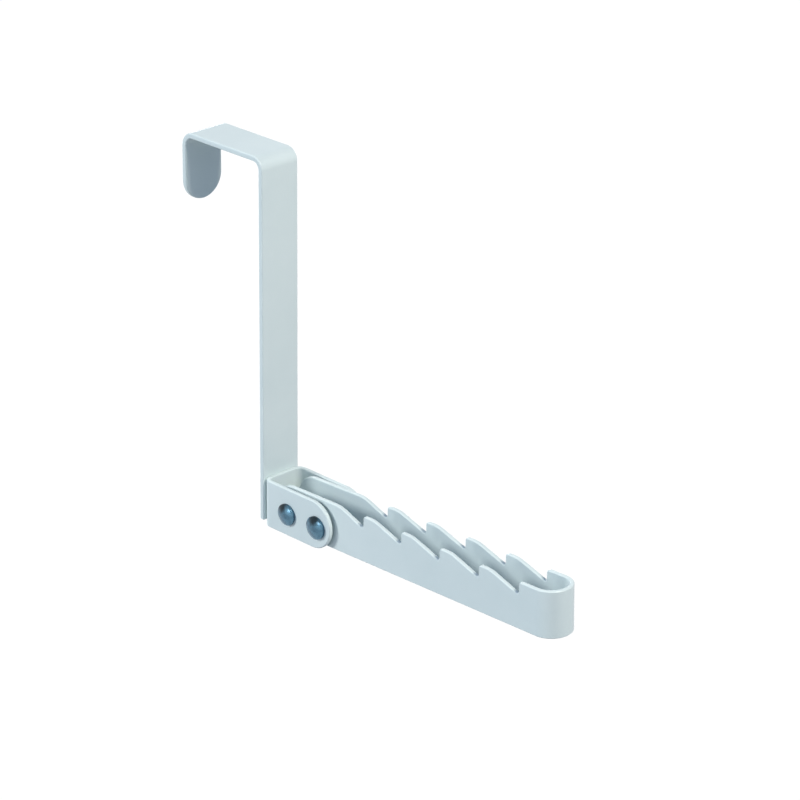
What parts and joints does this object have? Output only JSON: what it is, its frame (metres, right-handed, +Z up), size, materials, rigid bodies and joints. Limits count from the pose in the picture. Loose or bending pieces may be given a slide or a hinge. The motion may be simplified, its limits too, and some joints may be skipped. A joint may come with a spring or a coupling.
{
  "type": "folding over-door hook",
  "caption": "Over-door hook: a strap bent over the door top carries a bracket in which a notched, U-bent arm hinges up to fold flat.",
  "frame": {"origin": "middle of the seat: the underside of the flat that rests on the top edge of the door", "axes": "+Z up; -Y towards the room, along the arm; +Y towards the back of the door; +X across the width of the strap, along the rivets"},
  "size_m": [0.026, 0.2171, 0.1654],
  "materials": {
    "coated_strap": "satin powder coat",
    "coated_bracket": "satin powder coat",
    "coated_arm": "satin powder coat",
    "rivet_steel": "bare blued steel, domed"
  },
  "bodies": {
    "root": {"door_strap": "coated_strap", "clevis_bracket": "coated_bracket", "pivot_rivet": "rivet_steel", "stop_rivet": "rivet_steel"},
    "arm": {"notched_arm": "coated_arm"}
  },
  "joints": [
    {"name": "arm_fold", "type": "hinge", "parent": "root", "child": "arm", "pos_m": [0, -0.0403, -0.15285], "axis": [-1, 0, 0], "range_deg": [0, 88]}
  ]
}
